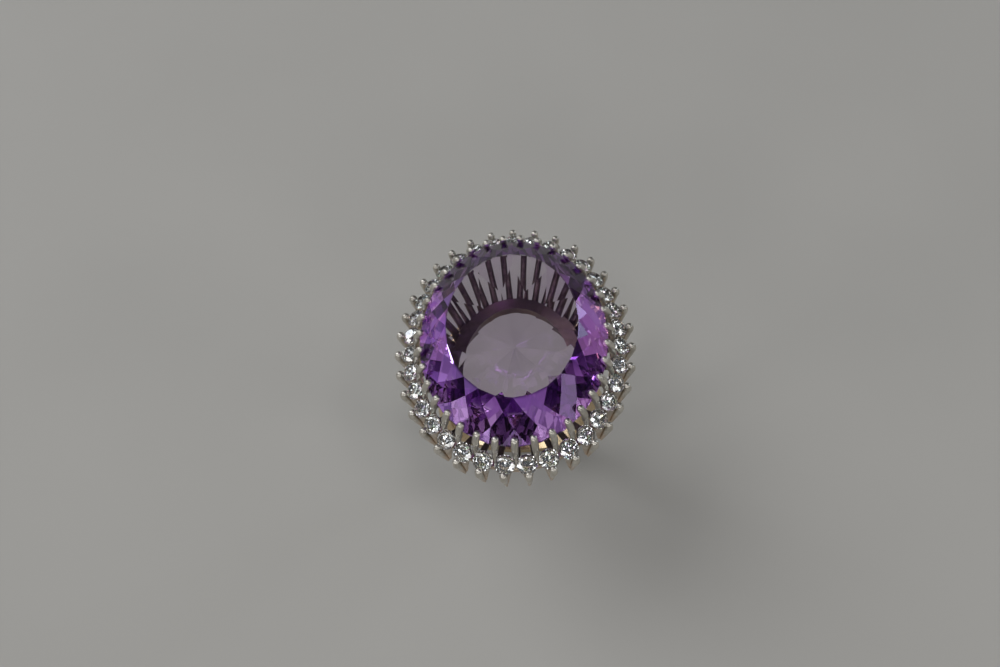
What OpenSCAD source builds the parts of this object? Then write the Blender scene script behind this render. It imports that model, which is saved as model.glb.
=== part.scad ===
// Oval cocktail ring. A large faceted oval stone stands in a wire basket, held by a
// claw between each pair of the round brilliants that circle it. Each brilliant sits
// in a pointed cup with a claw of its own on the outside.
// Millimetres. Origin: centre of the finger hole. +Y runs along the finger, +Z goes up
// to the stone. Heights named *_dz are measured from the tips of the outer claws, and
// distances named *_out are measured outwards from the outline of the big stone.

/* [Band] */
// Inside radius of the band, where the finger goes
finger_r = 8.65; // [7:0.05:11]
// Width of the band along the finger
band_w = 3.2; // [2:0.1:5]
// Thickness of the band at its middle
band_t = 1.5; // [1:0.1:2.5]
// Thickness of the band at its edges
band_edge_t = 0.9; // [0.5:0.1:0.9]
// Radius of the four wires that fork from the band to the collar
fork_wire_r = 0.5; // [0.3:0.05:0.8]

/* [Collar under the basket] */
// Half of the collar's width across the finger, at the middle of its wall
collar_a = 4.9; // [4:0.1:5.9]
// Half of the collar's length along the finger, at the middle of its wall
collar_b = 6.1; // [6:0.1:9]
// Thickness of the collar's wall
collar_t = 1.3; // [0.6:0.1:1.6]
// Height of the collar above the top of the finger hole
collar_h = 1.75; // [1.2:0.05:3]

/* [Centre stone] */
// Width of the oval stone, across the finger
stone_w = 20; // [16:0.5:24]
// Length of the oval stone, along the finger
stone_l = 25; // [20.5:0.5:32]
// Width of the stone's table as a share of the stone's width
table_share = 0.69; // [0.5:0.01:0.72]
// Height of the stone's crown, from girdle to table
crown_h = 3; // [2:0.1:4.5]
// Thickness of the stone's girdle
girdle_t = 0.34; // [0.2:0.02:0.6]
// Depth of the stone's pavilion, from girdle to culet
pavilion_h = 5; // [3.5:0.1:6]

/* [Brilliants] */
// Diameter of each round brilliant
diamond_d = 2.1; // [1.6:0.05:2.6]
// Least gap between two neighbouring brilliants
diamond_gap = 0.17; // [0.1:0.01:0.5]
// Outward lean of the brilliants, in degrees
diamond_lean = 30; // [15:1:45]

/* [Claws and cups] */
// Radius of the rounded tip of a claw on the big stone
stone_claw_r = 0.42; // [0.3:0.02:0.5]
// Radius of the foot of a claw on the big stone
stone_claw_foot_r = 0.28; // [0.2:0.02:0.3]
// Radius of the rounded tip of a brilliant's outer claw
outer_claw_r = 0.37; // [0.25:0.01:0.45]
// Thickness of a cup's wall
cup_t = 0.18; // [0.12:0.02:0.3]
// Length of a cup from the middle of its brilliant to its point
cup_h = 4.6; // [3.6:0.1:5.5]

/* [Basket] */
// Height from the top of the collar to the tips of the outer claws
basket_h = 5.3; // [4.6:0.1:8]
// Height of the rail that the claws and cups are soldered to
rail_h = 0.8; // [0.6:0.05:1]
// Radius of each basket wire
basket_wire_r = 0.38; // [0.2:0.01:0.4]

/* [Hidden] */
$fn = 48;
// Levels
collar_z = finger_r + collar_h;
tip_z = collar_z + basket_h;
girdle_dz = 1.65;
girdle_z = tip_z + girdle_dz;

// A ball at a bend is a little larger than the wire
ball = 1.02;

// Outline of the big stone
stone_a = stone_w / 2;
stone_b = stone_l / 2;

// Brilliants: place of the middle of each girdle, and how many fit round the stone.
// The room inside them is for the claws on the big stone.
diamond_r = diamond_d / 2;
claw_room = stone_claw_foot_r + 0.2;
diamond_out = diamond_r * cos(diamond_lean) + claw_room;
diamond_dz = 0.22;
diamond_n = floor(oval_length(stone_a, stone_b, diamond_out) / (diamond_d + diamond_gap));

// Brilliants: cut, in shares of the radius, and the girdle's thickness
diamond_table = 0.56;
diamond_star = 0.8;
diamond_crown = 0.297;
diamond_pavilion = 0.862;
diamond_half = 0.24;
diamond_girdle_t = 0.05;

// Cups: upright cones under the brilliants, a little further out than them. The rim is
// cut below the brilliant's girdle, and the space inside ends above the point.
cup_out = diamond_out + 0.11;
cup_tip_r = 0.15;
cup_mouth_r = 0.88 * diamond_r;
cup_mouth_dz = 0.6;
cup_rim_drop = 0.3;
cup_floor_h = 1;
cup_point_dz = diamond_dz - cup_h;
function cup_r(dz) =
    cup_tip_r + (cup_mouth_r - cup_tip_r) * (dz - cup_point_dz) / (cup_mouth_dz - cup_point_dz);

// Rail: its outer wall touches the cups, and its top carries the claws
rail_top_dz = -1.9;
rail_bottom_dz = rail_top_dz - rail_h;
rail_w = 2 * stone_claw_foot_r + 0.1;
rail_out_1 = cup_out - cup_r(rail_top_dz);
rail_out_0 = rail_out_1 - rail_w;

// Claws on the big stone: foot, shoulder by the brilliants, seat, girdle and tip. The
// tip's ball touches the crown a short way up from the girdle.
crown_angle = atan(1.14 * crown_h / (stone_a * (1 - table_share)));
claw_reach = 0.69;
claw_foot_out = rail_out_1 - rail_w / 2;
claw_shoulder_dz = girdle_dz - 1.1;
claw_seat_r = stone_claw_r - 0.08;
claw_girdle_r = stone_claw_r - 0.05;
stone_claw = [
    [claw_foot_out, 0, rail_top_dz],
    [claw_foot_out, 0, claw_shoulder_dz],
    [claw_seat_r + 0.02, 0, girdle_dz - 0.35],
    [claw_girdle_r + 0.03, 0, girdle_dz + 0.11],
    [ball * stone_claw_r * sin(crown_angle) - claw_reach * cos(crown_angle), 0,
     girdle_dz + girdle_t / 2
        + ball * stone_claw_r * cos(crown_angle) + claw_reach * sin(crown_angle)]
];
stone_claw_radii = [
    stone_claw_foot_r,
    stone_claw_foot_r + 0.02,
    claw_seat_r,
    claw_girdle_r,
    stone_claw_r
];

// Outer claws: tip on the brilliant's edge, bend past its girdle, point by the cup's
edge_out = diamond_out + diamond_r * cos(diamond_lean);
edge_dz = diamond_dz - diamond_r * sin(diamond_lean);
outer_claw_point_r = 0.13;
outer_claw = [
    [edge_out + 0.65 * outer_claw_r, 0, edge_dz + 0.9 * outer_claw_r],
    [edge_out + outer_claw_r - 0.01, 0, edge_dz - 0.15],
    [cup_out + cup_tip_r + outer_claw_point_r, 0, cup_point_dz]
];
outer_claw_radii = [outer_claw_r, outer_claw_r - 0.03, outer_claw_point_r];

// Basket wires: depth of their middle in the rail, and of their foot below the collar's top
wire_in_rail = 0.3;
wire_foot_drop = 0.9;

// Forks: angle of the foot from the top of the band, normal angle on the collar, and
// depth of the top below the collar's top
fork_foot_angle = 62;
fork_top_normal = 38;
fork_top_drop = 1.6;

function diamond_name(i) = str("diamond_", i < 9 ? "0" : "", i + 1);

// ---------- The oval: four arcs that join smoothly ----------
// a is half its width along X, b half its length along Y, and b is the larger.

function end_r(a, b) = a - 0.6 * (b - a);

function side_c(a, b) =
    let (r = end_r(a, b))
    ((b - r) ^ 2 - (a - r) ^ 2) / (2 * (a - r));

function side_r(a, b) = a + side_c(a, b);

// Half the angle that a side arc covers
function side_half(a, b) = atan2(b - end_r(a, b), side_c(a, b));

function arc_length(angle, r) = angle * PI / 180 * r;

function oval_length(a, b, out) =
    arc_length(4 * side_half(a, b), side_r(a, b) + out)
    + arc_length(360 - 4 * side_half(a, b), end_r(a, b) + out);

// Point whose outward normal stands at angle n from +X, moved outwards by out
function oval_point(a, b, n, out) =
    let (
        f = side_half(a, b),
        m = (n + 360) % 360,
        on_side = abs(cos(m)) >= cos(f),
        centre = on_side ? [-sign(cos(m)) * side_c(a, b), 0]
                         : [0, sign(sin(m)) * (b - end_r(a, b))],
        r = on_side ? side_r(a, b) : end_r(a, b)
    )
    centre + (r + out) * [cos(m), sin(m)];

// Normal angle at a share of the way round, from the front (-Y) towards +X
function oval_normal(a, b, out, share) =
    let (
        f = side_half(a, b),
        e = arc_length(90 - f, end_r(a, b) + out),
        s = arc_length(2 * f, side_r(a, b) + out)
    )
    lookup(share * (4 * e + 2 * s), [
        [0, -90],
        [e, -f],
        [e + s, f],
        [3 * e + s, 180 - f],
        [3 * e + 2 * s, 180 + f],
        [4 * e + 2 * s, 270]
    ]);

// The oval, moved outwards by out, as circles: two at its ends, two that share its sides
module oval(a, b, out) {
    join_y = b - end_r(a, b) + (end_r(a, b) + out) * sin(side_half(a, b));
    for (end = [-1, 1])
        translate([0, end * (b - end_r(a, b))]) circle(r = end_r(a, b) + out);
    intersection() {
        translate([-side_c(a, b), 0]) circle(r = side_r(a, b) + out);
        translate([side_c(a, b), 0]) circle(r = side_r(a, b) + out);
        square([4 * b, 2 * join_y], center = true);
    }
}

module oval_prism(a, b, out, z0, z1) {
    translate([0, 0, z0]) linear_extrude(z1 - z0) oval(a, b, out);
}

// Wall that follows the oval, from out0 to out1
module oval_wall(a, b, out0, out1, z0, z1) {
    translate([0, 0, z0]) linear_extrude(z1 - z0) difference() {
        oval(a, b, out1);
        oval(a, b, out0);
    }
}

// ---------- Places round the stone ----------

function halo_normal(i) = oval_normal(stone_a, stone_b, diamond_out, i / diamond_n);

// Stands the child on the stone's outline: +X outwards, Z from the outer claw tips
module at_halo(i) {
    p = oval_point(stone_a, stone_b, halo_normal(i), 0);
    translate([p.x, p.y, tip_z]) rotate(halo_normal(i)) children();
}

// Moves the child from the stone's outline to a brilliant's girdle, and leans it
module on_diamond() {
    translate([diamond_out, 0, diamond_dz]) rotate([0, diamond_lean, 0]) children();
}

// ---------- Wires ----------

module rod(p, q, r1, r2) {
    d = q - p;
    translate(p) rotate([0, acos(d.z / norm(d)), atan2(d.y, d.x)])
        cylinder(h = norm(d), r1 = r1, r2 = r2);
}

// Tapered wire through points, with a ball at each point from the second on
module wire(points, radii) {
    for (k = [1 : len(points) - 1]) {
        rod(points[k - 1], points[k], radii[k - 1], radii[k]);
        translate(points[k]) sphere(r = ball * radii[k]);
    }
}

// ---------- Faceted stones ----------
// A stone is cut in rings of n corners, each turned half a step from the last, so that
// four corners of three rings bound one lozenge. The heights keep each lozenge flat.

// Drop of each ring below the first, for ring radii rr and the first lozenges' slope
function ring_drops(n, rr, slope) = [for (
        k = 0, c = cos(180 / n), z0 = 0, z1 = slope * (rr[1] * c - rr[0]);
        k < len(rr);
        z2 = k + 2 < len(rr) ? z0 + (z1 - z0) * (rr[k + 2] - rr[k]) / (rr[k + 1] * c - rr[k]) : 0,
        z0 = z1,
        z1 = z2,
        k = k + 1
    ) z0];

// Solid cap: facets from a flat top of radius rr[0] down to a girdle of 2n corners, then
// a straight skirt. The last radius is the girdle's. The drops are stretched to height h.
module cap(n, rr, h, skirt) {
    m = len(rr) - 1;
    raw = ring_drops(n, rr, 1);
    drops = raw * h / raw[m];
    step = 360 / n;
    rings = [for (k = [0 : m - 1]) for (i = [0 : n - 1])
        let (t = step * (i + (k % 2) / 2)) [rr[k] * cos(t), rr[k] * sin(t), -drops[k]]];
    girdle = [for (z = [-h, -h - skirt]) for (j = [0 : 2 * n - 1])
        [rr[m] * cos(step * j / 2), rr[m] * sin(step * j / 2), z]];
    top = [for (i = [n - 1 : -1 : 0]) ring_at(n, 0, i)];
    stars = [for (i = [0 : n - 1]) [ring_at(n, 0, i), ring_at(n, 0, i + 1), ring_at(n, 1, i)]];
    lozenges = [for (k = [0 : 1 : m - 3]) for (i = [0 : n - 1])
        [ring_at(n, k, i), ring_at(n, k + 1, i + k % 2), ring_at(n, k + 2, i),
         ring_at(n, k + 1, i - 1 + k % 2)]];
    last = [for (i = [0 : n - 1])
        [ring_at(n, m - 2, i), ring_at(n, m - 1, i + m % 2), girdle_at(n, m, 2 * i + m % 2),
         ring_at(n, m - 1, i - 1 + m % 2)]];
    halves = [for (i = [0 : n - 1]) for (side = [0, 1])
        let (j = 2 * i + (m - 1) % 2 + side)
        [ring_at(n, m - 1, i), girdle_at(n, m, j), girdle_at(n, m, j - 1)]];
    walls = [for (j = [0 : 2 * n - 1])
        [girdle_at(n, m, j), girdle_at(n, m, j + 1),
         girdle_at(n, m, j + 1) + 2 * n, girdle_at(n, m, j) + 2 * n]];
    bottom = [for (j = [0 : 2 * n - 1]) girdle_at(n, m, j) + 2 * n];
    polyhedron(concat(rings, girdle),
        concat([top], stars, lozenges, last, halves, walls, [bottom]));
}

function ring_at(n, k, i) = k * n + (i + n) % n;
function girdle_at(n, m, j) = m * n + (j + 2 * n) % (2 * n);

module centre_stone() {
    crown = stone_a * [table_share, 0.79, 0.9, 1];
    pavilion = stone_a * [0.02, 0.5, 0.76, 1.002];
    color("mediumpurple") translate([0, 0, girdle_z]) scale([1, stone_l / stone_w, 1])
        intersection() {
            translate([0, 0, girdle_t / 2 + crown_h]) cap(24, crown, crown_h, pavilion_h + 1);
            translate([0, 0, -girdle_t / 2 - pavilion_h]) mirror([0, 0, 1])
                cap(12, pavilion, pavilion_h, crown_h + 1);
        }
}

module diamond(i) {
    crown = diamond_r * [diamond_table, diamond_star, 1];
    pavilion = diamond_r * [0.02, diamond_half, 1];
    color("white") at_halo(i + 0.5) on_diamond() intersection() {
        translate([0, 0, diamond_crown * diamond_r])
            cap(8, crown, diamond_crown * diamond_r, diamond_d);
        translate([0, 0, -diamond_girdle_t - diamond_pavilion * diamond_r]) mirror([0, 0, 1])
            cap(8, pavilion, diamond_pavilion * diamond_r, diamond_d);
    }
}

// ---------- Setting ----------

module stone_claws() {
    color("gainsboro") for (i = [0 : diamond_n - 1]) at_halo(i)
        wire(stone_claw, stone_claw_radii);
}

module outer_claws() {
    color("gainsboro") for (i = [0 : diamond_n - 1]) at_halo(i + 0.5)
        wire(outer_claw, outer_claw_radii);
}

// Pointed cup, open at the top, with its rim cut parallel to the brilliant's girdle
module cup() {
    floor_dz = cup_point_dz + cup_floor_h;
    difference() {
        translate([cup_out, 0, 0]) rotate_extrude() polygon([
            [0, cup_point_dz],
            [cup_r(cup_point_dz), cup_point_dz],
            [cup_mouth_r, cup_mouth_dz],
            [cup_mouth_r - cup_t, cup_mouth_dz],
            [cup_r(floor_dz) - cup_t, floor_dz],
            [0, floor_dz]
        ]);
        on_diamond() {
            translate([0, 0, diamond_d - cup_rim_drop]) cube(2 * diamond_d, center = true);
            translate([0, 0, -diamond_pavilion * diamond_r - diamond_girdle_t])
                cylinder(h = diamond_pavilion * diamond_r, r1 = 0.02 * diamond_r, r2 = diamond_r);
        }
    }
}

module diamond_cups() {
    color("goldenrod") for (i = [0 : diamond_n - 1]) at_halo(i + 0.5) cup();
}

module claw_rail() {
    color("goldenrod") oval_wall(stone_a, stone_b, rail_out_0, rail_out_1,
        tip_z + rail_bottom_dz, tip_z + rail_top_dz);
}

// One wire under each claw of the big stone, from the rail's inner wall to the collar
module basket_wires() {
    top_z = tip_z + rail_top_dz - rail_h / 2;
    color("goldenrod") difference() {
        intersection() {
            for (i = [0 : diamond_n - 1]) {
                p = oval_point(stone_a, stone_b, halo_normal(i), rail_out_0 + wire_in_rail);
                q = oval_point(collar_a, collar_b, halo_normal(i), 0);
                rod([p.x, p.y, top_z], [q.x, q.y, collar_z - wire_foot_drop],
                    basket_wire_r, basket_wire_r);
            }
            oval_prism(stone_a, stone_b, rail_out_0, finger_r, tip_z);
        }
        oval_prism(collar_a, collar_b, collar_t / 2, finger_r - 1, tip_z);
    }
}

module finger_hole(r) {
    rotate([90, 0, 0]) cylinder(h = 2 * stone_l, r = r, center = true, $fn = 96);
}

module base_collar() {
    color("goldenrod") difference() {
        oval_wall(collar_a, collar_b, -collar_t / 2, collar_t / 2, 0, collar_z);
        finger_hole(finger_r);
    }
}

// Whole hoop of the band, flat inside and crowned outside
module hoop() {
    crown_rise = band_t - band_edge_t;
    crown_r = ((band_w / 2) ^ 2 + crown_rise ^ 2) / (2 * crown_rise);
    crown_half = asin(band_w / 2 / crown_r);
    rotate([90, 0, 0]) rotate_extrude($fn = 96) translate([finger_r, 0]) polygon(concat(
        [[0, -band_w / 2]],
        [for (t = [-1 : 0.25 : 1])
            [band_t - crown_r + crown_r * cos(t * crown_half), crown_r * sin(t * crown_half)]],
        [[0, band_w / 2]]
    ));
}

module shank() {
    color("goldenrod") difference() {
        hoop();
        oval_prism(collar_a, collar_b, collar_t / 2, 0, collar_z + 1);
    }
}

// Wire from the band's crown to the collar's wall, beside the end of the band
module fork(side_x, side_y) {
    low = (finger_r + band_t - fork_wire_r) * [sin(fork_foot_angle), 0, cos(fork_foot_angle)];
    high = oval_point(collar_a, collar_b, fork_top_normal, 0);
    color("goldenrod") difference() {
        rod([side_x * low.x, side_y * (band_w / 2 - fork_wire_r), low.z],
            [side_x * high.x, side_y * high.y, collar_z - fork_top_drop],
            fork_wire_r, fork_wire_r);
        hoop();
        finger_hole(finger_r);
        oval_prism(collar_a, collar_b, collar_t / 2, 0, collar_z + 1);
    }
}

centre_stone();
stone_claws();
outer_claws();
diamond_cups();
claw_rail();
basket_wires();
base_collar();
shank();
fork(1, -1);  // fork_right_front
fork(1, 1);  // fork_right_back
fork(-1, -1);  // fork_left_front
fork(-1, 1);  // fork_left_back
for (i = [0 : diamond_n - 1]) {
    diamond(i);
}
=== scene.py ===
"""Oval amethyst cocktail ring: its gems and gold work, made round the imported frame."""

from math import atan2, cos, hypot, pi, radians, sin, sqrt

import bpy
from mathutils import Matrix, Vector


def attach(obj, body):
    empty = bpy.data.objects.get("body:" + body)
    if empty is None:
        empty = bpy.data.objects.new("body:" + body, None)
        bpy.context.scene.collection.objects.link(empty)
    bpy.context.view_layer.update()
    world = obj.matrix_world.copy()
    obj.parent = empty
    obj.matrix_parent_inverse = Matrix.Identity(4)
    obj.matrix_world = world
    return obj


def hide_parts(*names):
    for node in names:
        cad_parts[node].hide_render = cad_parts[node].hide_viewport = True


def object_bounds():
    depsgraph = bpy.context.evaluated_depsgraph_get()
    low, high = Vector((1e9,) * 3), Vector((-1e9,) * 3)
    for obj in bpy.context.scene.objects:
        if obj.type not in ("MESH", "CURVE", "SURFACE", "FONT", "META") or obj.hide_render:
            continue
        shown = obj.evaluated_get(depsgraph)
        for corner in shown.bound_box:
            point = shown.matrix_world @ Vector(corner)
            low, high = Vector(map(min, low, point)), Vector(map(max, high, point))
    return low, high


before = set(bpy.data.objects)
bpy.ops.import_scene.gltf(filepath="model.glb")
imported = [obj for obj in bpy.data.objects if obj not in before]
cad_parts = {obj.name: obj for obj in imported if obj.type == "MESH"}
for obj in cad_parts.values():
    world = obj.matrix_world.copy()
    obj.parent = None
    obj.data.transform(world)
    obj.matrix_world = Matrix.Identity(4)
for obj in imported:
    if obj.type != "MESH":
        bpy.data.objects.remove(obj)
cad_low, cad_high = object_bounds()

# Bench sizes in millimetres, in the frame's own axes: +Y along the finger, +Z to the stone.
MM = 0.001
FINGER_R, BAND_W, BAND_T, BAND_EDGE_T = 8.65, 3.2, 1.5, 0.9
COLLAR_A, COLLAR_B, COLLAR_T, COLLAR_TOP = 4.9, 6.1, 1.3, 10.4
WIRE_R, WIRE_FOOT_DROP, WIRE_BURIED = 0.36, 0.9, 0.06
FORK_R, FORK_TOP_DROP, FORK_BURIED = 0.5, 1.6, 0.1
FORK_FOOT, FORK_HEAD = radians(62), radians(38)  # down the band, and round the collar
STONE_A, STONE_B, STONE_TABLE = 10.0, 12.5, 0.69  # half sizes, and the table's share
GIRDLE_Z = 17.3  # parts the crown's colours from the pavilion's
BRILLIANTS = 35

# Below, out is counted from the stone's outline, and up from the outer claws' beads.
BEADS_Z = 15.7
BRILLIANT_OUT, BRILLIANT_UP, BRILLIANT_LEAN = 1.389, 0.22, radians(30)
CUP_OUT, CUP_POINT_UP, CUP_MOUTH_UP = 1.499, -4.38, 0.6
CUP_POINT_R, CUP_MOUTH_R, CUP_SEAT, CUP_RIM = 0.15, 0.924, 0.26, 0.07
RAIL_IN, RAIL_OUT, RAIL_BOTTOM, RAIL_TOP = 0.304, 0.964, -2.7, -1.9


# ---------- Bench habits ----------


def put_down():
    """Leaves edit mode and lets go of everything."""
    if bpy.context.object and bpy.context.object.mode != "OBJECT":
        bpy.ops.object.mode_set(mode="OBJECT")
    bpy.ops.object.select_all(action="DESELECT")


def pick(*pieces):
    put_down()
    for piece in pieces:
        piece.select_set(True)
    bpy.context.view_layer.objects.active = pieces[-1]


def settle(piece):
    """Moves the piece's place and turn into its mesh."""
    pick(piece)
    bpy.ops.object.transform_apply(location=True, rotation=True, scale=True)
    return piece


def open_up(piece, action="DESELECT"):
    """Edit mode on faces, with nothing or everything picked."""
    pick(piece)
    bpy.ops.object.mode_set(mode="EDIT")
    bpy.ops.mesh.select_mode(type="FACE")
    bpy.ops.mesh.select_all(action=action)


def pick_faces(piece, wanted):
    """Picks the faces whose middle and normal pass the test, in edit mode."""
    bpy.ops.object.mode_set(mode="OBJECT")
    for face in piece.data.polygons:
        face.select = wanted(face.center / MM, face.normal)
    bpy.ops.object.mode_set(mode="EDIT")


def turn(angle, axis, centre):
    """Turns what is picked by the right-hand rule about the axis through centre."""
    bpy.ops.transform.rotate(value=-angle, orient_axis=axis, center_override=centre)


def clean(piece, smooth=40):
    """Merges doubles, turns faces outwards and shades the piece."""
    open_up(piece, "SELECT")
    bpy.ops.mesh.remove_doubles(threshold=0.000002)
    bpy.ops.mesh.normals_make_consistent(inside=False)
    pick(piece)
    bpy.ops.object.shade_smooth_by_angle(angle=radians(smooth))
    return piece


def finish_with(piece, kind, **settings):
    """Adds a modifier and applies it."""
    pick(piece)
    modifier = piece.modifiers.new(kind.title(), kind)
    for key, value in settings.items():
        setattr(modifier, key, value)
    bpy.ops.object.modifier_apply(modifier=modifier.name)
    return piece


def named(piece, name, slot, metal, *nodes):
    """Names a finished piece, gives it its metal and its place in the frame."""
    piece.name = piece.data.name = name
    piece.data.materials.clear()
    piece.data.materials.append(metal)
    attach(piece, "root")
    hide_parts(*nodes)
    return piece


# ---------- The oval outline ----------


class Outline:
    """Four arcs that join smoothly: half a wide along X, half b long along Y."""

    def __init__(self, a, b):
        self.b = b
        self.end_r = a - 0.6 * (b - a)
        drop = a - self.end_r
        self.side_c = ((b - self.end_r) ** 2 - drop**2) / (2 * drop)
        self.side_r = a + self.side_c
        self.side_half = atan2(b - self.end_r, self.side_c)

    def point(self, angle, out):
        """The point out from the outline where its normal stands at this angle."""
        across, along = cos(angle), sin(angle)
        if abs(across) >= cos(self.side_half):
            centre, r = (-self.side_c * (1 if across > 0 else -1), 0), self.side_r
        else:
            centre = (0, (self.b - self.end_r) * (1 if along > 0 else -1))
            r = self.end_r
        return centre[0] + (r + out) * across, centre[1] + (r + out) * along

    def angle(self, share, out):
        """The normal's angle at a share of the way round, from the front towards +X."""
        end = (pi / 2 - self.side_half) * (self.end_r + out)
        side = 2 * self.side_half * (self.side_r + out)
        stops = [
            (0, -pi / 2),
            (end, -self.side_half),
            (end + side, self.side_half),
            (3 * end + side, pi - self.side_half),
            (3 * end + 2 * side, pi + self.side_half),
            (4 * end + 2 * side, 3 * pi / 2),
        ]
        s = share % 1 * (4 * end + 2 * side)
        for (s0, a0), (s1, a1) in zip(stops, stops[1:]):
            if s <= s1:
                return a0 + (a1 - a0) * (s - s0) / (s1 - s0)
        return stops[-1][1]


STONE = Outline(STONE_A, STONE_B)
COLLAR = Outline(COLLAR_A, COLLAR_B)


def halo(i):
    """Place on the stone's outline, i brilliants round from the front: x, y and turn."""
    angle = STONE.angle(i / BRILLIANTS, BRILLIANT_OUT)
    return (*STONE.point(angle, 0), angle)


def set_round(pattern, shift):
    """A copy of the pattern at each place round the stone, joined as one piece."""
    made = []
    for i in range(BRILLIANTS):
        pick(pattern)
        bpy.ops.object.duplicate(linked=False)
        copy = bpy.context.object
        x, y, angle = halo(i + shift)
        copy.location = (x * MM, y * MM, BEADS_Z * MM)
        copy.rotation_euler = (0, 0, angle)
        made.append(copy)
    bpy.data.objects.remove(pattern)
    pick(*made)
    bpy.ops.object.join()
    return settle(bpy.context.object)


# ---------- Wire ----------


def eased(points, steps):
    """A smooth line of stations through (out, up, radius) points."""
    line = []
    ends = [points[0], *points, points[-1]]
    for k in range(1, len(ends) - 2):
        p0, p1, p2, p3 = (Vector(q) for q in ends[k - 1 : k + 3])
        slope, bend = p2 - p0, 2 * p0 - 5 * p1 + 4 * p2 - p3
        swing = 3 * p1 - p0 - 3 * p2 + p3
        for j in range(steps):
            t = j / steps
            line.append(0.5 * (2 * p1 + slope * t + bend * t**2 + swing * t**3))
    return [*line, Vector(points[-1])]


def rounded(line, steps=4):
    """Adds a round end to a line of stations."""
    last = line[-1]
    ahead = Vector((last.x - line[-2].x, last.y - line[-2].y)).normalized()
    for j in range(1, steps + 1):
        t = j / steps * radians(84)
        reach = last.z * sin(t)
        line.append(
            Vector((last.x + ahead.x * reach, last.y + ahead.y * reach, last.z * cos(t)))
        )
    return line


def draw_wire(stations, sides):
    """Draws a tapered wire through stations (out, up, radius), by pulling out its end."""
    at = [Vector((s.x, 0, s.y)) * MM for s in stations]
    runs = [b - a for a, b in zip(at, at[1:])]
    heads = [atan2(run.x, run.z) for run in runs]
    leans = [heads[0], *((a + b) / 2 for a, b in zip(heads, heads[1:])), heads[-1]]
    put_down()
    bpy.ops.mesh.primitive_circle_add(
        vertices=sides,
        radius=stations[0].z * MM,
        fill_type="NGON",
        location=at[0],
        rotation=(0, leans[0], 0),
    )
    wire = settle(bpy.context.object)
    open_up(wire, "SELECT")
    for k in range(1, len(at)):
        bpy.ops.mesh.extrude_region_move(TRANSFORM_OT_translate={"value": runs[k - 1]})
        turn(leans[k] - leans[k - 1], "Y", at[k])
        grow = stations[k].z / stations[k - 1].z
        bpy.ops.transform.resize(value=(grow, grow, grow), center_override=at[k])
    return clean(wire)


def stand(wire, x, y, z, angle):
    """Puts a wire drawn along +X in its place, turned about Z."""
    wire.location = (x * MM, y * MM, z * MM)
    wire.rotation_euler = (0, 0, angle)
    return settle(wire)


def straight_wire(start, end, profile, sides):
    """A wire between two points; profile gives (share of the way, radius)."""
    run = Vector(end) - Vector(start)
    level = hypot(run.x, run.y)
    line = [Vector((level * t, run.z * t, r)) for t, r in profile]
    return stand(draw_wire(line, sides), *start, atan2(run.y, run.x))


# ---------- Finishes ----------


class Mixer:
    """Writes a material's nodes: maths as Python sums, anything else through node()."""

    def __init__(self, name):
        self.material = bpy.data.materials.new(name)
        self.material.use_nodes = True
        self.tree = self.material.node_tree
        self.tree.nodes.clear()

    def node(self, kind, settings=None, **inputs):
        made = self.tree.nodes.new("ShaderNode" + kind)
        for key, value in (settings or {}).items():
            setattr(made, key, value)
        for key, value in inputs.items():
            self.feed(made.inputs[key.replace("_", " ")], value)
        return made

    def feed(self, socket, value):
        if isinstance(value, Sum):
            value = value.socket
        if isinstance(value, bpy.types.NodeSocket):
            self.tree.links.new(value, socket)
        else:
            socket.default_value = value

    def value(self, socket):
        return Sum(self, socket)

    def place(self):
        """The piece's own coordinates in millimetres."""
        coords = self.node("TexCoord").outputs["Object"]
        scaled = self.node("VectorMath", {"operation": "SCALE"}, Vector=coords)
        scaled.inputs["Scale"].default_value = 1 / MM
        return scaled.outputs[0]

    def noise(self, place, scale, detail=2.0, roughness=0.5):
        made = self.node(
            "TexNoise", Vector=place, Scale=scale, Detail=detail, Roughness=roughness
        )
        return self.value(made.outputs["Fac"])

    def blend(self, factor, first, second, how="MIX"):
        """Mixes two colours by the factor."""
        made = self.node("Mix", {"data_type": "RGBA", "blend_type": how})
        self.feed(made.inputs[0], factor)
        self.feed(made.inputs[6], first)
        self.feed(made.inputs[7], second)
        return made.outputs[2]

    def out(self, shader, volume=None):
        made = self.node("OutputMaterial", Surface=shader)
        if volume is not None:
            self.feed(made.inputs["Volume"], volume)
        return self.material


class Sum:
    """A socket that can be added, taken away, multiplied and divided."""

    def __init__(self, mixer, socket):
        self.mixer, self.socket = mixer, socket

    def maths(self, operation, *values):
        made = self.mixer.node("Math", {"operation": operation})
        for socket, value in zip(made.inputs, values):
            self.mixer.feed(socket, value)
        return Sum(self.mixer, made.outputs[0])

    def __add__(self, other):
        return self.maths("ADD", self, other)

    def __radd__(self, other):
        return self.maths("ADD", other, self)

    def __sub__(self, other):
        return self.maths("SUBTRACT", self, other)

    def __rsub__(self, other):
        return self.maths("SUBTRACT", other, self)

    def __mul__(self, other):
        return self.maths("MULTIPLY", self, other)

    def __truediv__(self, other):
        return self.maths("DIVIDE", self, other)

    def __pow__(self, other):
        return self.maths("POWER", self, other)

    def step(self, low, high):
        """0 below low, 1 above high and smooth between."""
        made = self.mixer.node(
            "MapRange", {"interpolation_type": "SMOOTHSTEP"}, Value=self
        )
        made.inputs["From Min"].default_value = low
        made.inputs["From Max"].default_value = high
        return Sum(self.mixer, made.outputs["Result"])


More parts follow.
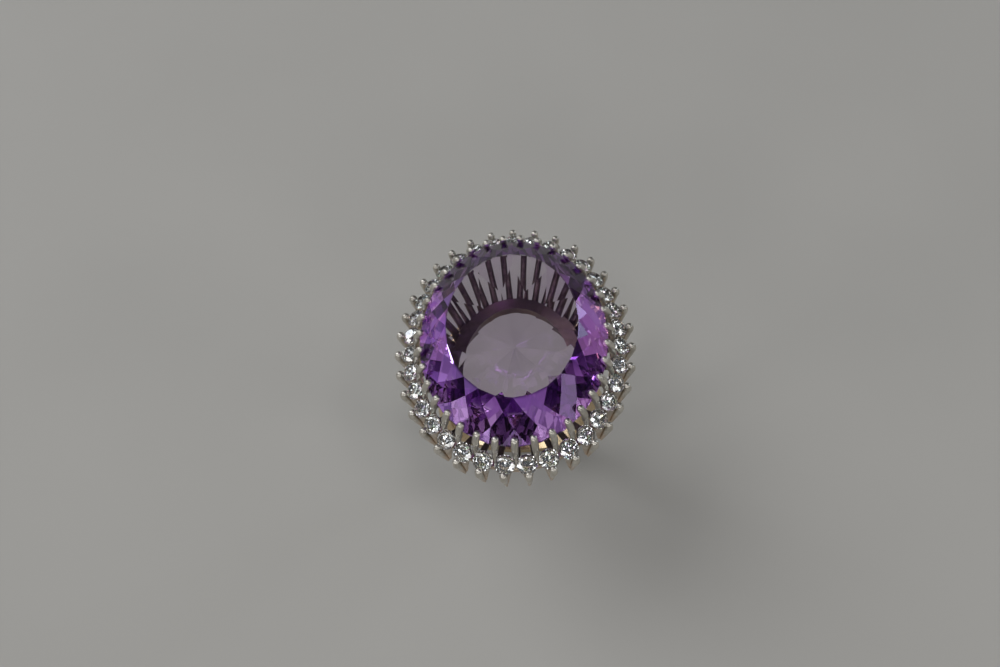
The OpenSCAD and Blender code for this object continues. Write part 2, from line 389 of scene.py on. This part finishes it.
def polished_gold(name, light, deep, warm_and_shade, warm_shade_low, warm_shade_high, rough):
    """Worn gold: light and deep tones in drifts, and lower down a warmer, darker tone, partly
    the gold's own warmer colour and partly painted shade low in the piece.
    """
    m = Mixer(name)
    place = m.place()
    parts = m.node("SeparateXYZ", Vector=place)
    up = m.value(parts.outputs["Z"])
    drift = m.noise(place, 0.9, 3.0).step(0.35, 0.65)
    specks = m.noise(place, 7.0, 2.0)
    brushed = m.node("Mapping", Vector=place, Rotation=(0.4, 0.3, 0.8), Scale=(3, 3, 30))
    scratches = m.noise(brushed.outputs[0], 1.2, 3.0, 0.6)
    tone = m.blend(drift, light, deep)
    # Partly painted shade: darker and warmer below the low height, standing in for shade low
    # in the piece as well as the gold's warmer colour.
    tone = m.blend(1 - up.step(warm_shade_low, warm_shade_high), tone, warm_and_shade)
    stain = (*(0.5 * c for c in warm_and_shade[:3]), 1)
    tone = m.blend((specks - 0.5) * 0.3 + 0.06, tone, stain)
    bump = m.node(
        "Bump",
        Height=scratches * 0.5 + specks * 0.7,
        Strength=0.16,
        Distance=0.00003,
    )
    metal = m.node(
        "BsdfPrincipled",
        Base_Color=tone,
        Metallic=1.0,
        Roughness=rough + specks * 0.12 + drift * 0.06,
        Normal=bump.outputs[0],
    )
    return m.out(metal.outputs[0])


def cut_amethyst():
    """Clear at the table and the culet, purple in drifts and from facet to facet outside,
    where the crown's facets also carry painted light and shade: some painted near black, some
    painted bright lilac.

    Bright facets of the crown glow faintly, a painted glow standing in for the light that
    bounces about inside.
    """
    m = Mixer("amethyst")
    place = m.place()
    parts = m.node("SeparateXYZ", Vector=place)
    x, y = m.value(parts.outputs["X"]), m.value(parts.outputs["Y"])
    z = m.value(parts.outputs["Z"])
    far = ((x / STONE_A) ** 2 + (y / STONE_B) ** 2) ** 0.5
    drift = m.noise(place, 0.3, 2.0).step(0.4, 0.6)
    facing = m.node("VectorMath", {"operation": "MULTIPLY_ADD"})
    m.feed(facing.inputs[0], m.node("TexCoord").outputs["Normal"])
    facing.inputs[1].default_value = (9, 9, 9)
    facing.inputs[2].default_value = (0.37, 0.51, 0.13)
    facing = m.node("VectorMath", {"operation": "FLOOR"}, Vector=facing.outputs[0])
    chance = m.node("TexWhiteNoise", Vector=facing.outputs[0])
    facet = m.value(chance.outputs["Value"])
    hue = m.value(m.node("SeparateColor", Color=chance.outputs["Color"]).outputs["Green"])
    shaded_below, lit_above, blur = 0.30, 0.52, 0.02  # shares of the facets: the darkest painted near black as painted shade, those above the second share painted bright lilac as painted light; and a change's width
    crown = far.step(STONE_TABLE - 0.015, STONE_TABLE + 0.02)
    above = z.step(GIRDLE_Z - 0.1, GIRDLE_Z + 0.1)
    clear = m.blend(drift, (0.78, 0.72, 0.80, 1), (0.73, 0.67, 0.76, 1))
    # Painted light: the bright lilac given to the lit crown facets stands in for the light
    # they return.
    light = m.blend(hue, (0.84, 0.62, 1.0, 1), (0.98, 0.66, 0.98, 1))
    middle = m.blend(hue, (0.44, 0.18, 0.78, 1), (0.56, 0.20, 0.66, 1))
    # Painted shade: the darkest share of the crown facets is painted near black.
    purple_and_painted_light = m.blend(facet.step(shaded_below, shaded_below + blur), (0.03, 0.006, 0.06, 1), middle)
    purple_and_painted_light = m.blend(facet.step(lit_above, lit_above + blur), purple_and_painted_light, light)
    purple_and_painted_light = m.blend(drift * 0.2, purple_and_painted_light, (0.40, 0.12, 0.60, 1))
    # Painted shade: the crown is multiplied darker towards its far half, along +Y.
    purple_and_painted_light = m.blend(y.step(2.0, 9.0), purple_and_painted_light, (0.07, 0.012, 0.15, 1), "MULTIPLY")
    side = m.blend(facet, (0.80, 0.68, 0.86, 1), (0.99, 0.97, 0.99, 1))
    side = m.blend(far.step(0.45, 0.65), (0.97, 0.94, 0.98, 1), side)
    side = m.blend(far.step(0.72, 0.96), side, (0.78, 0.56, 0.90, 1))
    tint_and_painted_light = m.blend(above, side, m.blend(crown, clear, purple_and_painted_light))
    # Painted light: the bright crown facets glow faintly, though the stone is no lamp, and
    # not on the far half.
    painted_glow_mask = facet.step(lit_above + blur, lit_above + 2 * blur) * crown * above
    painted_glow_mask = painted_glow_mask * (1 - y.step(3.0, 9.0))
    painted_glow = m.blend(hue, (0.08, 0.045, 0.17, 1), (0.13, 0.05, 0.15, 1))
    painted_glow = m.blend(painted_glow_mask, (0.0, 0.0, 0.0, 1), painted_glow)
    gem = m.node(
        "BsdfPrincipled",
        Base_Color=tint_and_painted_light,
        Roughness=0.0,
        IOR=1.544,
        Transmission_Weight=1.0,
        Specular_Tint=(0.72, 0.5, 1.0, 1),
        Emission_Color=painted_glow,
        Emission_Strength=1.0,
    )
    depths = m.node("VolumeAbsorption", Color=(0.82, 0.54, 0.97, 1), Density=42.0)
    return m.out(gem.outputs[0], depths.outputs[0])


def cut_diamond():
    """Colourless, with small flecks of painted spectral fire: coloured flashes painted in for
    the light a diamond splits.
    """
    m = Mixer("diamond")
    place = m.place()
    cells = m.node("TexVoronoi", Vector=place, Scale=2.6, Randomness=1.0)
    # Painted light: flecks of spectral colour painted in for the diamond's fire.
    painted_fire = m.noise(place, 1.7, 0.0).step(0.55, 0.68)
    tint_and_painted_light = m.blend(painted_fire * 0.5, (0.94, 0.975, 1.0, 1), cells.outputs["Color"])
    gem = m.node(
        "BsdfPrincipled",
        Base_Color=tint_and_painted_light,
        Roughness=0.0,
        IOR=2.417,
        Transmission_Weight=1.0,
    )
    return m.out(gem.outputs[0])


WHITE_GOLD = polished_gold(
    "white_gold", (0.74, 0.71, 0.65, 1), (0.58, 0.55, 0.49, 1), (0.62, 0.49, 0.37, 1),
    12.6, 14.6, 0.22,
)
YELLOW_GOLD = polished_gold(
    "yellow_gold", (0.83, 0.67, 0.45, 1), (0.74, 0.56, 0.35, 1), (0.79, 0.60, 0.37, 1),
    9.0, 12.0, 0.16,
)
CUP_GOLD = polished_gold(
    "cup_gold", (0.62, 0.54, 0.45, 1), (0.45, 0.38, 0.31, 1), (0.60, 0.45, 0.31, 1),
    11.5, 15.0, 0.2,
)
# Painted shade: gold darkened for the basket wires and collar, which sit in shade under the
# stone; it is also a little rougher.
SHADE_DARKENED_GOLD = polished_gold(
    "shade_darkened_gold", (0.22, 0.18, 0.155, 1), (0.14, 0.115, 0.10, 1), (0.17, 0.13, 0.105, 1),
    9.0, 12.0, 0.34,
)
AMETHYST, DIAMOND = cut_amethyst(), cut_diamond()


# ---------- Claws, cups and basket ----------


def stone_claws():
    line = eased(
        [(0.63, -1.9, 0.28), (0.64, -0.6, 0.28), (0.63, 0.5, 0.3), (0.37, 1.3, 0.34),
         (0.40, 1.78, 0.37), (0.16, 2.25, 0.40), (-0.14, 2.62, 0.41)],
        4,
    )
    claw = draw_wire(rounded(line), 14)
    named(set_round(claw, 0), "stone_claw_set", "white_gold", WHITE_GOLD, "stone_claws")


def outer_claws():
    line = eased(
        [(1.78, -4.38, 0.14), (2.12, -2.8, 0.25), (2.46, -1.3, 0.34), (2.66, -0.5, 0.38),
         (2.64, -0.16, 0.40), (2.55, 0.03, 0.42)],
        4,
    )
    claw = draw_wire(rounded(line), 14)
    named(set_round(claw, 0.5), "outer_claw_set", "white_gold", WHITE_GOLD, "outer_claws")


def cups():
    """A cone, cut to the brilliant's lean, with a seat and a hollow cut into it."""
    put_down()
    height = CUP_MOUTH_UP - CUP_POINT_UP
    bpy.ops.mesh.primitive_cone_add(
        vertices=32,
        radius1=CUP_POINT_R * MM,
        radius2=CUP_MOUTH_R * MM,
        depth=height * MM,
        location=(CUP_OUT * MM, 0, (CUP_POINT_UP + height / 2) * MM),
    )
    cup = settle(bpy.context.object)
    axis = Vector((sin(BRILLIANT_LEAN), 0, cos(BRILLIANT_LEAN)))
    rim = Vector((BRILLIANT_OUT, 0, BRILLIANT_UP)) - 0.3 * axis
    open_up(cup, "SELECT")
    bpy.ops.mesh.bisect(
        plane_co=rim * MM, plane_no=axis, use_fill=True, clear_outer=True
    )
    pick_faces(cup, lambda centre, normal: normal.dot(axis) > 0.99)
    bpy.ops.mesh.inset(thickness=CUP_RIM * MM, depth=0)
    bpy.ops.mesh.extrude_region_move(
        TRANSFORM_OT_translate={"value": axis * -CUP_SEAT * MM}
    )
    seat = (rim - CUP_SEAT * axis + Vector((0.06, 0, 0))) * MM
    bpy.ops.transform.resize(value=(0.72, 0.72, 0.72), center_override=seat)
    for drop, shrink in ((0.9, 0.8), (1.1, 0.7)):
        bpy.ops.mesh.extrude_region_move(
            TRANSFORM_OT_translate={"value": (0, 0, -drop * MM)}
        )
        middle = (CUP_OUT * MM, 0, seat.z - drop * MM)
        bpy.ops.transform.resize(value=(shrink, shrink, shrink), center_override=middle)
    clean(cup)
    finish_with(
        cup, "BEVEL", width=0.035 * MM, segments=2, limit_method="ANGLE",
        angle_limit=radians(50),
    )
    cup_set = set_round(clean(cup, 35), 0.5)
    named(cup_set, "diamond_cup_set", "yellow_gold", CUP_GOLD, "diamond_cups")


def oval_band(out_a, out_b, bottom, top, wall):
    """An upright oval wall about its middle line."""
    put_down()
    bpy.ops.mesh.primitive_circle_add(
        vertices=140, radius=MM, fill_type="NOTHING", location=(0, 0, bottom * MM)
    )
    band = settle(bpy.context.object)
    open_up(band)
    bpy.ops.mesh.select_mode(type="EDGE")
    bpy.ops.mesh.select_all(action="SELECT")
    bpy.ops.transform.resize(
        value=(out_a, out_b, 1), center_override=(0, 0, bottom * MM)
    )
    bpy.ops.mesh.extrude_region_move(
        TRANSFORM_OT_translate={"value": (0, 0, (top - bottom) * MM)}
    )
    pick(band)
    return finish_with(
        band, "SOLIDIFY", thickness=wall * MM, offset=0, use_even_offset=True
    )


def round_edges(piece, width):
    finish_with(
        piece, "BEVEL", width=width * MM, segments=3, limit_method="ANGLE",
        angle_limit=radians(40),
    )
    return clean(piece, 35)


def rail():
    middle = (RAIL_IN + RAIL_OUT) / 2
    ring = oval_band(
        STONE_A + middle, STONE_B + middle, BEADS_Z + RAIL_BOTTOM, BEADS_Z + RAIL_TOP,
        RAIL_OUT - RAIL_IN,
    )
    ring = round_edges(clean(ring), 0.12)
    named(ring, "claw_rail_oval", "yellow_gold", CUP_GOLD, "claw_rail")


def basket():
    """Straight wires from the rail down and inwards to the collar."""
    top, foot = BEADS_Z + (RAIL_TOP + RAIL_BOTTOM) / 2, COLLAR_TOP - WIRE_FOOT_DROP
    wires = []
    for i in range(BRILLIANTS):
        angle = halo(i)[2]
        x0, y0 = STONE.point(angle, RAIL_IN + WIRE_BURIED)
        x1, y1 = COLLAR.point(angle, COLLAR_T / 2 - WIRE_BURIED)
        wires.append(
            straight_wire(
                (x1, y1, foot), (x0, y0, top),
                [(0, 0.42), (0.06, 0.38), (0.16, WIRE_R), (0.5, 0.34), (0.86, WIRE_R),
                 (0.95, 0.37), (1, 0.4)],
                12,
            )
        )
    pick(*wires)
    bpy.ops.object.join()
    named(bpy.context.object, "basket_wire_set", "yellow_gold", SHADE_DARKENED_GOLD, "basket_wires")


def finger_rod():
    put_down()
    bpy.ops.mesh.primitive_cylinder_add(
        vertices=192, radius=FINGER_R * MM, depth=60 * MM, rotation=(pi / 2, 0, 0)
    )
    return settle(bpy.context.object)


def cut_away(piece, tool):
    finish_with(piece, "BOOLEAN", operation="DIFFERENCE", object=tool, solver="EXACT")
    bpy.data.objects.remove(tool)
    return piece


def collar():
    """The oval under the basket, filed underneath to the finger's curve."""
    ring = clean(oval_band(COLLAR_A, COLLAR_B, 4.0, COLLAR_TOP, COLLAR_T))
    cut_away(ring, finger_rod())
    ring = round_edges(clean(ring), 0.1)
    named(ring, "collar_oval", "yellow_gold", SHADE_DARKENED_GOLD, "base_collar")


def band():
    """A D section, spun round the finger, then cut to the collar's sides."""
    cuts, gap = 6, radians(36)
    half, rise = BAND_W / 2, BAND_T - BAND_EDGE_T
    crown_r = (half**2 + rise**2) / (2 * rise)
    middle = FINGER_R + BAND_EDGE_T / 2
    put_down()
    bpy.ops.mesh.primitive_plane_add(size=MM, location=(middle * MM, 0, 0))
    hoop = settle(bpy.context.object)
    open_up(hoop, "SELECT")
    bpy.ops.transform.resize(
        value=(BAND_EDGE_T, BAND_W, 1), center_override=(middle * MM, 0, 0)
    )
    bpy.ops.object.mode_set(mode="OBJECT")
    outer = (FINGER_R + BAND_EDGE_T) * MM
    for edge in hoop.data.edges:
        edge.select = all(
            abs(hoop.data.vertices[v].co.x - outer) < 0.01 * MM for v in edge.vertices
        )
    bpy.ops.object.mode_set(mode="EDIT")
    bpy.ops.mesh.select_mode(type="EDGE")
    bpy.ops.mesh.subdivide(number_cuts=2 * cuts - 1)
    bpy.ops.mesh.select_mode(type="VERT")
    for step in range(1 - cuts, cuts):
        y = half * step / cuts
        bpy.ops.mesh.select_all(action="DESELECT")
        bpy.ops.object.mode_set(mode="OBJECT")
        for vertex in hoop.data.vertices:
            vertex.select = (
                abs(vertex.co.y - y * MM) < 0.02 * MM and vertex.co.x > middle * MM
            )
        bpy.ops.object.mode_set(mode="EDIT")
        lift = sqrt(crown_r**2 - y**2) - (crown_r - rise)
        bpy.ops.transform.translate(value=(lift * MM, 0, 0))
    bpy.ops.mesh.select_all(action="SELECT")
    turn(gap - pi / 2, "Y", (0, 0, 0))
    bpy.ops.mesh.spin(
        steps=150, angle=2 * (pi - gap), center=(0, 0, 0), axis=(0, -1, 0)
    )
    clean(hoop)
    put_down()
    bpy.ops.mesh.primitive_cylinder_add(
        vertices=140, radius=MM, depth=12 * MM, location=(0, 0, 6 * MM)
    )
    prism = settle(bpy.context.object)
    open_up(prism, "SELECT")
    bpy.ops.transform.resize(
        value=(COLLAR_A + COLLAR_T / 2, COLLAR_B + COLLAR_T / 2, 1),
        center_override=(0, 0, 0),
    )
    put_down()
    cut_away(hoop, prism)
    named(round_edges(clean(hoop), 0.13), "finger_band", "yellow_gold", YELLOW_GOLD, "shank")


def forks():
    """Four straight wires from the band's shoulders to the collar's sides."""
    low = FINGER_R + BAND_T - FORK_R - FORK_BURIED
    x0, y0, z0 = low * sin(FORK_FOOT), BAND_W / 2 - FORK_R, low * cos(FORK_FOOT)
    x1, y1 = COLLAR.point(FORK_HEAD, COLLAR_T / 2 - FORK_BURIED)
    for side, across in (("right", 1), ("left", -1)):
        for end, along in (("front", -1), ("back", 1)):
            wire = straight_wire(
                (across * x0, along * y0, z0),
                (across * x1, along * y1, COLLAR_TOP - FORK_TOP_DROP),
                [(0, 0.62), (0.06, 0.56), (0.18, FORK_R), (0.5, 0.45), (0.82, 0.47),
                 (0.93, 0.52), (1, 0.58)],
                18,
            )
            node = f"fork_{side}_{end}"
            named(wire, node + "_wire", "yellow_gold", YELLOW_GOLD, node)


def gems():
    """The stones keep their own shape and take only their looks."""
    for name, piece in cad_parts.items():
        if name == "centre_stone" or name.startswith("diamond_") and name[8:].isdigit():
            piece.data.materials.clear()
            piece.data.materials.append(AMETHYST if name == "centre_stone" else DIAMOND)


# ---------- Floor, light and camera ----------


def floor():
    put_down()
    bpy.ops.mesh.primitive_plane_add(size=3, location=(0, 0, cad_low.z))
    sheet = bpy.context.object
    sheet.name = "floor"
    m = Mixer("pale_floor")
    place = m.place()
    tone = m.blend(m.noise(place, 0.02, 3.0), (0.50, 0.488, 0.46, 1), (0.56, 0.545, 0.515, 1))
    paper = m.node("BsdfPrincipled", Base_Color=tone, Roughness=0.9)
    sheet.data.materials.append(m.out(paper.outputs[0]))


def soft_light(name, place, size, power, tone):
    light = bpy.data.lights.new(name, "AREA")
    light.shape, light.size, light.energy, light.color = "SQUARE", size, power, tone
    lamp = bpy.data.objects.new(name, light)
    bpy.context.scene.collection.objects.link(lamp)
    lamp.location = place
    lamp.rotation_euler = (-Vector(place)).to_track_quat("-Z", "Y").to_euler()


# Name, place, side and power of each lamp, in metres and watts, and its colour.
SOFTBOXES = [
    ("high_softbox", (-0.55, 0.35, 0.76), 0.7, 3.0, (0.98, 0.99, 1.0)),
    ("overhead_box", (0.15, -0.15, 1.0), 0.2, 0.8, (1.0, 1.0, 1.0)),
    ("high_left_box", (-0.28, -0.38, 0.88), 0.14, 0.4, (0.96, 0.98, 1.0)),
    ("high_right_box", (0.42, -0.28, 0.84), 0.14, 0.4, (1.0, 0.98, 0.96)),
    ("front_box", (-0.05, -0.88, 0.47), 0.3, 0.8, (1.0, 0.99, 0.97)),
    ("front_left_box", (-0.48, -0.72, 0.45), 0.22, 0.7, (1.0, 0.99, 0.97)),
    ("front_right_box", (0.40, -0.78, 0.42), 0.18, 0.4, (1.0, 0.99, 0.97)),
    ("right_box", (0.86, -0.34, 0.38), 0.25, 0.8, (1.0, 0.98, 0.96)),
    ("left_box", (-0.85, -0.36, 0.36), 0.25, 0.8, (1.0, 0.98, 0.96)),
    ("right_back_box", (0.83, 0.50, 0.2), 0.24, 0.8, (0.82, 0.90, 1.0)),
    ("left_back_box", (-0.80, 0.55, 0.2), 0.24, 0.8, (0.88, 0.93, 1.0)),
]


def studio():
    scene = bpy.context.scene
    scene.world = bpy.data.worlds.new("studio")
    scene.world.use_nodes = True
    air = scene.world.node_tree.nodes["Background"]
    air.inputs["Color"].default_value = (0.80, 0.84, 0.90, 1)
    air.inputs["Strength"].default_value = 0.09
    for name, place, size, power, tone in SOFTBOXES:
        soft_light(name, place, size, power, tone)
    scene.view_settings.view_transform = "Standard"
    scene.cycles.max_bounces = 24
    scene.cycles.glossy_bounces = 16
    scene.cycles.transmission_bounces = 24
    scene.cycles.caustics_refractive = False
    scene.cycles.caustics_reflective = False


def stand_camera():
    around, above, tilt = radians(6.43), radians(59.24), radians(-7.76)
    far, aside, aloft = 100, -1.549, 1.334  # millimetres from the ring's middle
    back = Vector((sin(around) * cos(above), -cos(around) * cos(above), sin(above)))
    right = Vector((cos(around), sin(around), 0))
    up = back.cross(right)
    across = cos(tilt) * right + sin(tilt) * up
    upward = cos(tilt) * up - sin(tilt) * right
    eye = Vector((0, 0, BEADS_Z)) + far * back + aside * across + aloft * upward
    lens = bpy.data.cameras.new("camera")
    lens.sensor_width, lens.lens = 36, 33.365
    lens.clip_start, lens.clip_end = 0.001, 100
    camera = bpy.data.objects.new("camera", lens)
    bpy.context.scene.collection.objects.link(camera)
    camera.matrix_world = Matrix.Translation(eye * MM) @ Matrix(
        (across, upward, back)
    ).transposed().to_4x4()
    bpy.context.scene.camera = camera


stone_claws()
outer_claws()
cups()
rail()
basket()
collar()
band()
forks()
gems()
floor()
studio()
stand_camera()
